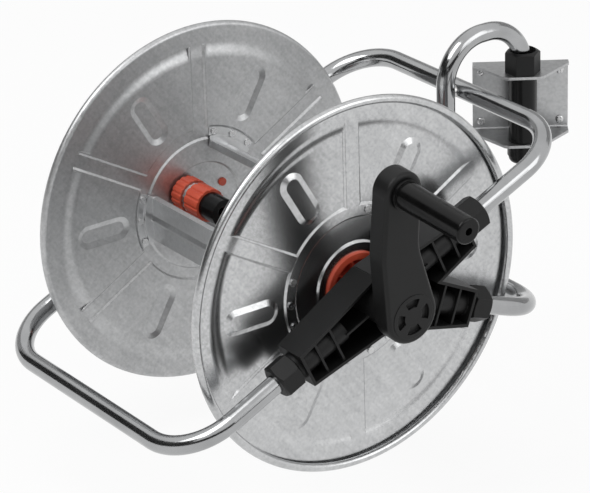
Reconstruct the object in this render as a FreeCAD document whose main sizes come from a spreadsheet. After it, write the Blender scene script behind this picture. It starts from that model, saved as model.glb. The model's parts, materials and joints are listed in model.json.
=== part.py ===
import FreeCAD, Part
import os
import re

import Sketcher

# Wall-mounted swivelling hose reel, in millimetres.
# Origin: centre of the wall plate's back face. +Z up, +Y into the wall.
# Reel pieces are drawn in the axle frame: X towards the pivot post, Y up and
# Z along the axle towards the crank, with the origin midway between the discs.
# The crank arm and its grip lean outwards by a few degrees from that frame.

SIZES = {
    # Wall bracket and pivot
    "plate_width": 104,
    "plate_height": 82,
    "bracket_sheet": 3,
    "bracket_bend": 3,
    "flange_depth": 56,
    "flange_shoulder": 14,
    "flange_tip": 38.5,
    "flange_corner": 8,
    "wall_screw_spacing_x": 86,
    "wall_screw_spacing_z": 58,
    "wall_screw_hole": 6.5,
    "pivot_offset": 37.5,
    "pivot_clearance": 0.08,
    "sleeve_diameter": 30.8,
    "sleeve_below": 22,
    "sleeve_floor": 4,
    "sleeve_tip_round": 6,
    "stop_ring_height": 13,
    "stop_ring_wall": 1.4,
    "stop_ring_groove": 1,
    "stop_ring_gap": 0.4,
    "pivot_cap_across": 33.5,
    "pivot_cap_height": 25,
    "pivot_cap_chamfer": 2.5,
    "pivot_cap_mouth": 6,
    # Tubular frame
    "swing_angle": 35,
    "axle_drop": 67,
    "tube_diameter": 20,
    "tube_wall": 1.5,
    "tube_fit": 0.1,
    "frame_bend": 60,
    "frame_gap": 31.5,
    "upper_reach": 268,
    "upper_angle": 24,
    "lower_angle": -20,
    "left_reach": 258,
    "left_angle": 205,
    "arch_bend": 49,
    "arch_span": 105.5,
    "arch_height": 165,
    "weld_gap": 0.4,
    "weld_bead": 4,
    "weld_spot": 7,
    # Spiders, tube nuts and bushes
    "spider_depth": 38,
    "spider_wall": 3,
    "spider_hub_radius": 31,
    "arm_root_width": 66,
    "arm_end_width": 40,
    "left_arm": 110,
    "right_arm": 115,
    "socket_wall": 4,
    "socket_depth": 56,
    "rib_thickness": 2.5,
    "rib_pitch": 21,
    "boss_radius": 24,
    "front_boss": 17.5,
    "rear_boss": 9.5,
    "nut_across": 34,
    "nut_length": 28,
    "nut_neck": 3.5,
    "nut_neck_radius": 15.5,
    "nut_chamfer": 2,
    "thread_radius": 13.5,
    "thread_length": 18,
    "journal_radius": 13,
    "bush_wall": 3,
    "bush_flange": 3,
    "bush_rim": 5,
    "run_clearance": 0.05,
    "seat_fit": 0.05,
    "end_play": 0.3,
    # Water inlet
    "water_bore": 6,
    "inlet_radius": 13.2,
    "inlet_length": 20,
    "inlet_flange_radius": 21,
    "inlet_flange": 6,
    "inlet_stem_radius": 8,
    "inlet_stem": 16,
    "seal_width": 6,
    "seal_wall": 2.5,
    "journal_setback": 4,
    # Discs
    "disc_diameter": 400,
    "disc_spacing": 280,
    "sheet": 1,
    "curl_radius": 4.5,
    "panel_recess": 1.8,
    "panel_outer": 163,
    "panel_slope": 15,
    "hub_ring_inner": 74,
    "hub_ring_outer": 85,
    "hub_ring_slope": 2,
    "centre_radius": 45,
    "centre_rise": 2,
    "spoke_width": 16,
    "spoke_slope": 3.4,
    "oblong_length": 70,
    "oblong_width": 33,
    "oblong_circle": 126.5,
    "oblong_height": 2.5,
    "oblong_slope": 6,
    # Core bars and rivets
    "first_bar": 60,
    "bar_radius": 66,
    "bar_width": 48,
    "bar_hem": 7,
    "bar_rib_width": 9,
    "bar_rib_height": 2.5,
    "bar_end_gap": 1,
    "foot_angle": 44,
    "foot_outer": 84,
    "rivet_circle": 80,
    "rivet_step": 17.5,
    "rivet_radius": 2.2,
    "rivet_head_radius": 3.8,
    "rivet_head": 1.6,
    # Drive hub, shaft and crank
    "drive_flange_radius": 36,
    "drive_flange": 3,
    "drive_cup_radius": 31,
    "drive_cup_wall": 3,
    "drive_cup_depth": 10,
    "drive_boss_radius": 16,
    "drive_rib": 2.5,
    "drive_square": 15,
    "crank_gap": 1,
    "crank_length": 139.5,
    "crank_angle": 96.3,
    "crank_lean": 4,
    "crank_width": 45,
    "crank_bow": 8.5,
    "crank_knee": 75,
    "crank_bend": 60,
    "crank_thickness": 22.5,
    "crank_boss_radius": 30,
    "crank_tip_radius": 22,
    "crank_round": 4,
    "crank_web": 5,
    "crank_cap_radius": 24,
    "crank_cap_thickness": 0.5,
    "crank_cap_spigot_radius": 21.5,
    "crank_cap_spigot": 4,
    "cap_slot_inner": 10.5,
    "cap_slot_outer": 19.5,
    "cap_slot_angle": 55,
    "cap_slot_depth": 3.5,
    "crank_screw_radius": 3,
    "crank_screw_head_radius": 6,
    "crank_screw_head": 4,
    "crank_screw_gap": 0.8,
    "crank_screw_length": 22,
    "grip_radius": 14.5,
    "grip_end_radius": 13.6,
    "grip_length": 97,
    "grip_gap": 0.5,
    "grip_collar_radius": 16.5,
    "grip_collar": 4,
    "grip_round": 2.5,
    "grip_eye": 4,
    "pin_radius": 5,
    "pin_head_radius": 7,
    "pin_head": 3,
    "pin_setback": 8,
    # Rear hub and hose connector
    "rear_flange_radius": 43,
    "port_circle": 31,
    "port_angle": 141,
    "peg_angle": 34,
    "peg_radius": 4.4,
    "peg_height": 2,
    "nipple_radius": 8,
    "nipple_plug": 6,
    "nipple_flange_radius": 13,
    "nipple_flange": 4,
    "nipple_length": 26,
    "outlet_bore": 5,
    "collar_radius": 19,
    "collar_length": 16,
    "collar_travel": 4,
    "collar_gap": 1,
    "collar_groove": 1,
    "core_radius": 15,
    "slide_clearance": 0.3,
    "trim_ring_radius": 17,
    "trim_ring_length": 6,
    "body_radius": 18,
    "body_length": 24,
    "hose_nut_radius": 15,
    "hose_nut_length": 26,
    "hose_radius": 8,
}

SPOKES = 6
BARS = 3
DRIVE_RIBS = 8
CAP_SLOTS = 4
COLLAR_GROOVES = 16
BODY_GROOVES = 12

# Values worked out from the driving sizes.
DERIVED = {
    "tube_radius": "tube_diameter / 2",
    "bore_radius": "tube_radius + tube_fit",
    "sleeve_radius": "sleeve_diameter / 2",
    "half_plate": "plate_height / 2",
    "sleeve_bottom": "half_plate + sleeve_below",
    "upper_h": "upper_reach * cos(upper_angle)",
    "upper_z": "upper_reach * sin(upper_angle)",
    "leg_h": "upper_h - tube_diameter - weld_gap",
    "lower_reach": "leg_h / cos(lower_angle)",
    "lower_z": "leg_h * tan(lower_angle)",
    "post_h": "leg_h + arch_span",
    "leg_plane": "rim_plane + frame_gap",
    "cap_top": "half_plate + pivot_cap_height",
    "mouth_depth": "max(pivot_cap_mouth; cap_top + axle_drop + arch_bend - arch_height)",
    "mouth_rise": "sqrt(pow(arch_bend - tube_radius; 2) - pow(mouth_depth; 2))",
    "mouth_radius": "arch_bend - mouth_rise + slide_clearance",
    "spider_back": "leg_plane - spider_depth / 2",
    "spider_front": "leg_plane + spider_depth / 2",
    "front_boss_end": "spider_front + front_boss",
    "rear_boss_end": "spider_front + rear_boss",
    "bush_radius": "journal_radius + run_clearance + bush_wall",
    "bush_face": "spider_back - bush_flange",
    "hub_boss_end": "bush_face - end_play",
    "journal_end": "rear_boss_end - journal_setback",
    "disc_radius": "disc_diameter / 2",
    "rim_plane": "disc_spacing / 2",
    "curl_centre": "disc_radius - curl_radius",
    "web_face": "rim_plane - curl_radius + sheet",
    "panel_face": "web_face - panel_recess",
    "panel_curve": "(pow(panel_slope; 2) + pow(panel_recess; 2)) / (4 * panel_recess)",
    "centre_face": "panel_face + centre_rise",
    "foot_face": "web_face - sheet",
    "bar_end": "panel_face - sheet - bar_end_gap",
    "crank_back": "front_boss_end + crank_gap",
    "crank_front": "crank_back + crank_thickness",
    "crank_waist": "crank_width / 2 - crank_bow",
    "waist_reach": "sqrt(pow(crank_knee; 2) + pow(crank_waist; 2))",
    "boss_turn": "atan(crank_waist / crank_knee) + acos(crank_boss_radius / waist_reach)",
    "screw_seat": "crank_front - crank_cap_spigot - crank_screw_gap - crank_screw_head",
    "grip_base": "crank_front + grip_gap",
    "grip_end": "grip_base + grip_length",
    "pin_end": "grip_end - pin_setback",
    "stem_bore": "inlet_stem_radius + seal_wall",
    "channel_plane": "(centre_face + hub_boss_end) / 2",
    "port_x": "port_circle * cos(port_angle)",
    "port_y": "port_circle * sin(port_angle)",
    "collar_start": "nipple_flange + collar_gap",
    "collar_end": "collar_start + collar_length",
    "body_start": "collar_end + trim_ring_length",
    "body_end": "body_start + body_length",
}

WORD = re.compile(r"[a-z][a-z_]*")

AXLE = (
    "placement(vector(0; -pivot_offset; -axle_drop); rotation(vector(0; 0; 1); swing_angle))"
    " * placement(vector(-post_h; 0; 0); rotation(vector(1; 0; 0); 90))"
)
REAR = AXLE + " * placement(vector(0; 0; 0); rotation(vector(1; 0; 0); 180))"
CRANK = AXLE + " * placement(vector(0; 0; 0); rotation(vector(0; 0; 1); crank_angle))"
LEANED = CRANK + (
    " * placement(vector(0; 0; crank_back); rotation(vector(0; 1; 0); -crank_lean))"
    " * placement(vector(0; 0; -crank_back); rotation(vector(0; 0; 1); 0))"
)

doc = FreeCAD.newDocument("hose_reel")
sheet = doc.addObject("Spreadsheet::Sheet", "sizes")
for row, (alias, size) in enumerate(SIZES.items(), start=1):
    sheet.set(f"A{row}", alias)
    sheet.set(f"B{row}", str(size))
    sheet.setAlias(f"B{row}", alias)
doc.recompute()

pieces = []


def linked(text):
    """Spell out derived names and point every driving name at its cell."""

    def replace(match):
        word = match.group()
        if word in DERIVED:
            return f"({linked(DERIVED[word])})"
        return f"sizes.{word}" if word in SIZES else word

    return WORD.sub(replace, str(text))


def value(text):
    """The number that an expression stands for."""
    return float(sheet.evalExpression(linked(text)))


def bind(target, name, text):
    """Bind one property of an object to an expression."""
    target.setExpression(name, linked(text))


def polar(radius, angle, side="0"):
    """Point at a radius along an angle, stepped sideways."""
    x = f"({radius}) * cos({angle}) - ({side}) * sin({angle})"
    y = f"({radius}) * sin({angle}) + ({side}) * cos({angle})"
    return x, y


def turned(frame, angle):
    """A frame turned about its own Z."""
    return f"{frame} * placement(vector(0; 0; 0); rotation(vector(0; 0; 1); {angle}))"


def shifted(x, y, z):
    """A placement moved to a point without turning."""
    return f"placement(vector({x}; {y}; {z}); rotation(vector(0; 0; 1); 0))"


def along_x(x, y, z):
    """A placement whose Z runs along X from a point."""
    return f"placement(vector({x}; {y}; {z}); rotation(vector(0; 1; 0); 90))"


def new_body(label, frame=None):
    """An empty body in a frame, kept as one of the part's pieces."""
    body = doc.addObject("PartDesign::Body", label)
    body.Label = label
    body.AllowCompound = True
    if frame:
        bind(body, "Placement", frame)
    pieces.append(body)
    return body


def new_sketch(body, role, offset=None):
    """A sketch on one of the body's own planes."""
    sketch = body.newObject("Sketcher::SketchObject", f"{body.Name}_sketch")
    plane = next(item for item in body.Origin.OriginFeatures if item.Role == role)
    sketch.AttachmentSupport = (plane, [""])
    sketch.MapMode = "FlatFace"
    if offset is not None:
        bind(sketch, "AttachmentOffset.Base.z", offset)
    return sketch


def fix_point(sketch, geometry, position, x, y):
    """Hold a sketch point at two expressions, or on an axis where one is 0."""
    for kind, axis, text in (("DistanceX", -2, x), ("DistanceY", -1, y)):
        if str(text) == "0":
            sketch.addConstraint(Sketcher.Constraint("PointOnObject", geometry, position, axis))
            continue
        constraint = Sketcher.Constraint(kind, -1, 1, geometry, position, value(text))
        index = sketch.addConstraint(constraint)
        bind(sketch, f"Constraints[{index}]", text)


def arc_between(start, end, radius, turn, large):
    """An arc of a circle from start to end, counter-clockwise where turn is 1."""
    chord = end - start
    middle = (start + end) * 0.5
    side = FreeCAD.Vector(-chord.y, chord.x, 0).normalize()
    height = max(radius * radius - chord.Length * chord.Length / 4, 0) ** 0.5
    centre = middle + side * height * turn * (-1 if large else 1)
    outward = middle - centre if not large else centre - middle
    return Part.Arc(start, centre + outward.normalize() * radius, end)


def add_chain(sketch, points, closed):
    """Lines and arcs through points (x, y) or (x, y, radius, turn, large) of the arc that follows."""
    places = [FreeCAD.Vector(value(point[0]), value(point[1]), 0) for point in points]
    count = len(points) if closed else len(points) - 1
    ends = []
    for index in range(count):
        start = places[index]
        end = places[(index + 1) % len(points)]
        rest = points[index][2:]
        if rest:
            radius, turn, large = rest
            arc = arc_between(start, end, value(radius), turn, large)
            geometry = sketch.addGeometry(arc, False)
            constraint = sketch.addConstraint(Sketcher.Constraint("Radius", geometry, value(radius)))
            bind(sketch, f"Constraints[{constraint}]", radius)
            ends.append((geometry, 1, 2) if turn > 0 else (geometry, 2, 1))
        else:
            geometry = sketch.addGeometry(Part.LineSegment(start, end), False)
            ends.append((geometry, 1, 2))
    for index in range(count):
        geometry, first, last = ends[index]
        fix_point(sketch, geometry, first, *points[index][:2])
        if index > 0 or closed:
            before, _, before_last = ends[index - 1]
            sketch.addConstraint(Sketcher.Constraint("Coincident", before, before_last, geometry, first))
    if not closed:
        geometry, _, last = ends[-1]
        fix_point(sketch, geometry, last, *points[-1][:2])


def add_loop(sketch, points):
    """A closed outline."""
    add_chain(sketch, points, True)


def add_circle(sketch, x, y, radius):
    """A full circle."""
    centre = FreeCAD.Vector(value(x), value(y), 0)
    circle = Part.Circle(centre, FreeCAD.Vector(0, 0, 1), value(radius))
    geometry = sketch.addGeometry(circle, False)
    fix_point(sketch, geometry, 3, x, y)
    index = sketch.addConstraint(Sketcher.Constraint("Radius", geometry, value(radius)))
    bind(sketch, f"Constraints[{index}]", radius)


def extrude(body, kind, sketch, length=None, symmetric=False, backward=False):
    """A Pad or Pocket of a length, or through everything where there is none."""
    feature = body.newObject(f"PartDesign::{kind}", f"{body.Name}_{kind}")
    feature.Profile = sketch
    if length is None:
        feature.Type = "ThroughAll"
    else:
        bind(feature, "Length", length)
    feature.SideType = "Symmetric" if symmetric else "One side"
    feature.Reversed = backward
    return feature


def pad(body, sketch, length, symmetric=False, backward=False):
    """Add a sketch's area, pushed by a length."""
    return extrude(body, "Pad", sketch, length, symmetric, backward)


def pocket(body, sketch, length=None, symmetric=False, backward=False):
    """Cut a sketch's area."""
    return extrude(body, "Pocket", sketch, length, symmetric, backward)


def spin(body, sketch, kind="Revolution", angle=None):
    """Turn a sketch about the body's Z, by a full turn or half an angle each way."""
    feature = body.newObject(f"PartDesign::{kind}", f"{body.Name}_{kind}")
    feature.Profile = sketch
    feature.ReferenceAxis = (sketch, ["V_Axis"])
    feature.Angle = 360
    if angle is not None:
        bind(feature, "Angle", angle)
        feature.Midplane = True
    return feature


def turned_solid(body, points):
    """A full revolution of a profile of (radius, height) points."""
    sketch = new_sketch(body, "XZ_Plane")
    add_loop(sketch, points)
    return spin(body, sketch)


def rod(body, kind, radius, length, place):
    """An Additive or Subtractive cylinder with a placement of its own."""
    feature = body.newObject(f"PartDesign::{kind}Cylinder", f"{body.Name}_{kind}")
    bind(feature, "Radius", radius)
    bind(feature, "Height", length)
    bind(feature, "Placement", place)
    return feature


def around(body, features, count):
    """Repeat features evenly about the body's Z."""
    doc.recompute()
    pattern = body.newObject("PartDesign::PolarPattern", f"{body.Name}_pattern")
    axis = next(item for item in body.Origin.OriginFeatures if item.Role == "Z_Axis")
    pattern.Originals = features
    pattern.Axis = (axis, [""])
    pattern.Angle = 360
    pattern.Occurrences = count
    body.Tip = pattern
    return pattern


def round_edges(body, radius, chosen, kind="Fillet", size="Radius"):
    """Round or bevel the edges of the body's solid that a test chooses."""
    doc.recompute()
    base = body.Tip
    names = [f"Edge{i}" for i, edge in enumerate(base.Shape.Edges, start=1) if chosen(edge)]
    feature = body.newObject(f"PartDesign::{kind}", f"{body.Name}_{kind}")
    feature.Base = (base, names)
    bind(feature, size, radius)
    return feature


def near(first, second):
    """Two numbers are the same within rounding."""
    return abs(first - second) < 1e-4


def regular_hexagon(sketch, across):
    """A hexagon across its flats, centred on the origin."""
    corner = f"({across}) / 2 / cos(30)"
    add_loop(sketch, [polar(corner, 60 * step + 30) for step in range(6)])


def rectangle(sketch, x, y, half_x, half_y):
    """An upright rectangle about a point."""
    low_x, high_x = f"({x}) - ({half_x})", f"({x}) + ({half_x})"
    low_y, high_y = f"({y}) - ({half_y})", f"({y}) + ({half_y})"
    add_loop(sketch, [(low_x, low_y), (high_x, low_y), (high_x, high_y), (low_x, high_y)])


def square(sketch, side):
    """A square about the origin."""
    rectangle(sketch, "0", "0", f"({side}) / 2", f"({side}) / 2")


def bent_tube(body, path_role, path, section_role, section_offset, section_x, section_y):
    """A hollow tube swept along straight runs and tangent arcs."""
    spine = new_sketch(body, path_role)
    add_chain(spine, path, False)
    section = new_sketch(body, section_role, section_offset)
    add_circle(section, section_x, section_y, "tube_radius")
    add_circle(section, section_x, section_y, "tube_radius - tube_wall")
    pipe = body.newObject("PartDesign::AdditivePipe", f"{body.Name}_pipe")
    pipe.Profile = section
    pipe.Spine = spine
    return pipe


def wall_bracket():
    """Folded steel bracket: back plate, two tapered flanges, pivot and screw holes."""
    body = new_body("wall_bracket")
    side = new_sketch(body, "YZ_Plane")
    inner = "half_plate - bracket_sheet"
    add_loop(side, [
        ("0", "-half_plate"), ("0", "half_plate"),
        ("-flange_depth", "half_plate"), ("-flange_depth", inner),
        ("-bracket_sheet", inner), ("-bracket_sheet", f"-({inner})"),
        ("-flange_depth", f"-({inner})"), ("-flange_depth", "-half_plate"),
    ])
    pad(body, side, "plate_width", symmetric=True)
    taper = new_sketch(body, "XY_Plane")
    for sign in ("", "-"):
        add_loop(taper, [
            (f"{sign}plate_width / 2", "-flange_shoulder"),
            (f"{sign}flange_tip / 2", "-flange_depth"),
            (f"{sign}flange_tip / 2", "-2 * flange_depth"),
            (f"{sign}plate_width", "-2 * flange_depth"),
            (f"{sign}plate_width", "-flange_shoulder"),
        ])
    pocket(body, taper, symmetric=True)
    pivot = new_sketch(body, "XY_Plane")
    add_circle(pivot, "0", "-pivot_offset", "sleeve_radius + pivot_clearance")
    pocket(body, pivot, symmetric=True)
    screws = new_sketch(body, "XZ_Plane")
    for across in ("", "-"):
        for up in ("", "-"):
            x, z = f"{across}wall_screw_spacing_x / 2", f"{up}wall_screw_spacing_z / 2"
            add_circle(screws, x, z, "wall_screw_hole / 2")
    pocket(body, screws, symmetric=True)

    def lies_along_x(edge, y, z):
        points = [vertex.Point for vertex in edge.Vertexes]
        level = near(points[0].z, points[-1].z) and len(points) == 2
        return level and all(near(p.y, y) and near(abs(p.z), z) for p in points)

    def flange_corner(edge):
        points = [vertex.Point for vertex in edge.Vertexes]
        return all(near(p.y, -value("flange_depth")) for p in points) and near(points[0].x, points[-1].x)

    round_edges(body, "flange_corner", flange_corner)
    outer_fold = 0, value("half_plate")
    round_edges(body, "bracket_bend + bracket_sheet", lambda edge: lies_along_x(edge, *outer_fold))
    inner_fold = -value("bracket_sheet"), value(inner)
    round_edges(body, "bracket_bend", lambda edge: lies_along_x(edge, *inner_fold))


def pivot_pieces():
    """Black sleeve through both flanges, its flared hex cap and the ring that stops it lifting out."""
    post = "placement(vector(0; -pivot_offset; 0); rotation(vector(0; 0; 1); swing_angle))"
    groove_top = "-half_plate - stop_ring_gap"
    groove_bottom = "-half_plate - stop_ring_gap - stop_ring_height"
    groove_radius = "sleeve_radius - stop_ring_groove"
    turned_solid(new_body("pivot_sleeve", post), [
        ("0", "-sleeve_bottom"),
        ("sleeve_radius - sleeve_tip_round", "-sleeve_bottom", "sleeve_tip_round", 1, False),
        ("sleeve_radius", "-sleeve_bottom + sleeve_tip_round"),
        ("sleeve_radius", groove_bottom), (groove_radius, groove_bottom),
        (groove_radius, groove_top), ("sleeve_radius", groove_top),
        ("sleeve_radius", "half_plate"), ("bore_radius", "half_plate"),
        ("bore_radius", "-sleeve_bottom + sleeve_floor"), ("0", "-sleeve_bottom + sleeve_floor"),
    ])
    turned_solid(new_body("pivot_ring", post), [
        (f"{groove_radius} + seat_fit", f"{groove_bottom} + seat_fit"),
        ("sleeve_radius + stop_ring_wall", f"{groove_bottom} + seat_fit"),
        ("sleeve_radius + stop_ring_wall", f"{groove_top} - seat_fit"),
        (f"{groove_radius} + seat_fit", f"{groove_top} - seat_fit"),
    ])
    cap = new_body("pivot_nut", post)
    outline = new_sketch(cap, "XY_Plane", "half_plate")
    regular_hexagon(outline, "pivot_cap_across")
    add_circle(outline, "0", "0", "bore_radius")
    pad(cap, outline, "pivot_cap_height")
    mouth = new_sketch(cap, "XZ_Plane")
    add_loop(mouth, [
        ("bore_radius", "cap_top - mouth_depth"), ("mouth_radius", "cap_top"), ("bore_radius", "cap_top"),
    ])
    spin(cap, mouth, "Groove")
    bevel_corners(cap, "cap_top", "-", "pivot_cap_across", "pivot_cap_chamfer")


def bevel_corners(body, level, side, across, depth):
    """Turn the corners off one end of a hexagon at 30 degrees; side points into the hexagon."""
    inner = f"({across}) / 2 - {depth}"
    outer = f"({across}) / 2 / cos(30) + {depth}"
    bevel = new_sketch(body, "XZ_Plane")
    add_loop(bevel, [
        (inner, level), (outer, level), (outer, f"{level} {side} ({outer} - ({inner})) * tan(30)"),
    ])
    spin(body, bevel, "Groove")


def swing_arm():
    """Gooseneck tube from the pivot sleeve, over and down to the lower frame tube."""
    body = new_body("swing_arm", AXLE)
    start = "axle_drop - sleeve_bottom + sleeve_floor"
    bend_z = "arch_height - arch_bend"
    path = [
        ("post_h", start),
        ("post_h", bend_z, "arch_bend", 1, False),
        ("post_h - arch_bend", "arch_height"),
        ("leg_h + arch_bend", "arch_height", "arch_bend", 1, False),
        ("leg_h", bend_z),
        ("leg_h", "lower_z"),
    ]
    bent_tube(body, "XY_Plane", path, "XZ_Plane", f"-({start})", "post_h", "0")
    rod(body, "Subtractive", "tube_radius + weld_gap", "4 * tube_diameter",
        shifted("leg_h", "lower_z", "-2 * tube_diameter"))


def frame_tube(label, reach, angle, arm):
    """U-shaped tube: two legs out of the spiders and a run parallel to the axle."""
    body = new_body(label, turned(AXLE, angle))
    start = f"{arm} - socket_depth"
    bend_x = f"{reach} - frame_bend"
    bend_n = "leg_plane - frame_bend"
    path = [
        (start, "leg_plane"),
        (bend_x, "leg_plane", "frame_bend", -1, False),
        (reach, bend_n),
        (reach, f"-({bend_n})", "frame_bend", -1, False),
        (bend_x, "-leg_plane"),
        (start, "-leg_plane"),
    ]
    bent_tube(body, "XZ_Plane", path, "YZ_Plane", start, "0", "leg_plane")


def primitive(kind, place, **sizes):
    """A bound Part primitive."""
    item = doc.addObject(f"Part::{kind}", kind)
    for name, text in sizes.items():
        bind(item, name, text)
    bind(item, "Placement", place)
    return item


def arm_welds():
    """Weld beads where the gooseneck meets the upper and lower frame tubes."""
    upright = "rotation(vector(1; 0; 0); -90)"
    saddle = primitive(
        "Cone", f"{AXLE} * placement(vector(leg_h; lower_z + tube_radius / 2; 0); {upright})",
        Radius1="tube_radius + weld_bead", Radius2="tube_radius + seat_fit",
        Height="tube_radius / 2 + weld_bead")
    spot = primitive(
        "Sphere", f"{AXLE} * placement(vector(leg_h + tube_radius + weld_gap / 2; upper_z; 0); {upright})",
        Radius="weld_spot")
    compound = doc.addObject("Part::Compound", "arm_welds")
    compound.Label = "arm_welds"
    beads = []
    for bead, reach, angle in ((saddle, "lower_reach", "lower_angle"), (spot, "upper_reach", "upper_angle")):
        leg = primitive(
            "Cylinder", f"{AXLE} * placement(vector(leg_h; lower_z; 0); {upright})",
            Radius="tube_radius", Height="arch_height - lower_z")
        x, y = polar(reach, angle)
        run = primitive(
            "Cylinder", f"{AXLE} * {shifted(x, y, '-leg_plane / 2')}",
            Radius="tube_radius", Height="leg_plane")
        first = doc.addObject("Part::Cut", "bead_without_leg")
        first.Base, first.Tool = bead, leg
        second = doc.addObject("Part::Cut", "bead")
        second.Base, second.Tool = first, run
        beads.append(second)
    compound.Links = beads
    pieces.append(compound)


def spider(label, frame, flip, boss):
    """Moulded three-armed carrier, closed towards the disc and ribbed and open outwards."""
    body = new_body(label, frame)
    arms = [(f"{flip}upper_angle", "right_arm"), (f"{flip}lower_angle", "right_arm"),
            (f"{flip}left_angle", "left_arm")]

    def arm_shape(sketch, angle, start, length, inset):
        root = f"arm_root_width / 2 - {inset}"
        end = f"arm_end_width / 2 - {inset}"
        tip = f"{length} - {inset}"
        add_loop(sketch, [polar(start, angle, f"-({root})"), polar(tip, angle, f"-({end})"),
                          polar(tip, angle, end), polar(start, angle, root)])

    hub = new_sketch(body, "XY_Plane", "spider_back")
    add_circle(hub, "0", "0", "spider_hub_radius")
    pad(body, hub, "spider_depth")
    for angle, length in arms:
        outline = new_sketch(body, "XY_Plane", "spider_back")
        arm_shape(outline, angle, "0", length, "0")
        pad(body, outline, "spider_depth")
    for angle, length in arms:
        hollow = new_sketch(body, "XY_Plane", "spider_front")
        arm_shape(hollow, angle, "0", length, "spider_wall")
        pocket(body, hollow, "spider_depth - spider_wall")
    centre = new_sketch(body, "XY_Plane", "spider_back")
    add_circle(centre, "0", "0", "boss_radius")
    pad(body, centre, f"spider_depth + {boss}")
    for angle, length in arms:
        ribs = new_sketch(body, "XY_Plane", "spider_back")
        for step in (1, 2):
            radius = f"{length} - {step} * rib_pitch"
            taper = f"(arm_root_width - arm_end_width) / 2 * {step} * rib_pitch / {length}"
            reach = f"arm_end_width / 2 + {taper} - spider_wall / 2"
            near_side, far_side = f"{radius} - rib_thickness / 2", f"{radius} + rib_thickness / 2"
            add_loop(ribs, [polar(near_side, angle, f"-({reach})"), polar(far_side, angle, f"-({reach})"),
                            polar(far_side, angle, reach), polar(near_side, angle, reach)])
        pad(body, ribs, "spider_depth - rib_thickness")
        socket_start = f"{length} - socket_depth - spider_wall"
        turn = f"placement(vector(0; 0; 0); rotation(vector(0; 0; 1); {angle}))"
        place = f"{turn} * {along_x(socket_start, '0', 'leg_plane')}"
        rod(body, "Additive", "tube_radius + socket_wall", "socket_depth + spider_wall", place)
        place = f"{turn} * {along_x(length, '0', 'leg_plane')}"
        rod(body, "Additive", "thread_radius", "thread_length", place)
        spine = new_sketch(body, "XY_Plane", "spider_back")
        inner, outer = "boss_radius - spider_wall", f"{socket_start} + spider_wall"
        side = "rib_thickness / 2"
        add_loop(spine, [polar(inner, angle, f"-{side}"), polar(outer, angle, f"-{side}"),
                         polar(outer, angle, side), polar(inner, angle, side)])
        pad(body, spine, "spider_depth - rib_thickness")
    for angle, length in arms:
        turn = f"placement(vector(0; 0; 0); rotation(vector(0; 0; 1); {angle}))"
        place = f"{turn} * {along_x(f'{length} - socket_depth', '0', 'leg_plane')}"
        rod(body, "Subtractive", "bore_radius", "socket_depth + thread_length + spider_wall", place)
    rod(body, "Subtractive", "bush_radius + seat_fit", "2 * leg_plane", shifted("0", "0", "0"))


def tube_nuts(label, frame, flip):
    """Hexagon nuts that clamp the frame tubes in a spider's three sockets."""
    nuts = []
    for number, (angle, length) in enumerate(
            ((f"{flip}upper_angle", "right_arm"), (f"{flip}lower_angle", "right_arm"),
             (f"{flip}left_angle", "left_arm")), start=1):
        place = f"{turned(frame, angle)} * {along_x(length, '0', 'leg_plane')}"
        nut = doc.addObject("PartDesign::Body", f"{label}_{number}")
        bind(nut, "Placement", place)
        neck = new_sketch(nut, "XY_Plane")
        add_circle(neck, "0", "0", "nut_neck_radius")
        pad(nut, neck, "nut_length")
        outline = new_sketch(nut, "XY_Plane", "nut_neck")
        regular_hexagon(outline, "nut_across")
        pad(nut, outline, "nut_length - nut_neck")
        thread = new_sketch(nut, "XY_Plane")
        add_circle(thread, "0", "0", "thread_radius + tube_fit")
        pocket(nut, thread, "thread_length + seat_fit", backward=True)
        tube = new_sketch(nut, "XY_Plane")
        add_circle(tube, "0", "0", "bore_radius")
        pocket(nut, tube, backward=True)
        bevel_corners(nut, "nut_length", "-", "nut_across", "nut_chamfer")
        bevel_corners(nut, "nut_neck", "+", "nut_across", "nut_chamfer")
        nuts.append(nut)
    group = doc.addObject("Part::Compound", label)
    group.Label = label
    group.Links = nuts
    pieces.append(group)


def bush(label, frame):
    """Flanged plain bearing in a spider's boss."""
    inner = "journal_radius + run_clearance"
    turned_solid(new_body(label, frame), [
        (inner, "bush_face"), ("bush_radius + bush_rim", "bush_face"),
        ("bush_radius + bush_rim", "spider_back"), ("bush_radius", "spider_back"),
        ("bush_radius", "spider_front"), (inner, "spider_front"),
    ])


def water_inlet():
    """Fixed inlet fitting on the rear spider and the lip seal on its stem."""
    stem_end = "rear_boss_end - inlet_stem"
    turned_solid(new_body("inlet_fitting", REAR), [
        ("water_bore", stem_end), ("inlet_stem_radius", stem_end),
        ("inlet_stem_radius", "rear_boss_end"), ("inlet_flange_radius", "rear_boss_end"),
        ("inlet_flange_radius", "rear_boss_end + inlet_flange"),
        ("inlet_radius", "rear_boss_end + inlet_flange"),
        ("inlet_radius", "rear_boss_end + inlet_flange + inlet_length"),
        ("water_bore", "rear_boss_end + inlet_flange + inlet_length"),
    ])
    seal_outer = "stem_bore - run_clearance"
    turned_solid(new_body("inlet_seal", REAR), [
        ("inlet_stem_radius + seat_fit", f"{stem_end} + seal_wall"),
        (seal_outer, f"{stem_end} + seal_wall"),
        (seal_outer, f"{stem_end} + seal_wall + seal_width"),
        ("inlet_stem_radius + seat_fit", f"{stem_end} + seal_wall + seal_width"),
    ])


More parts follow.
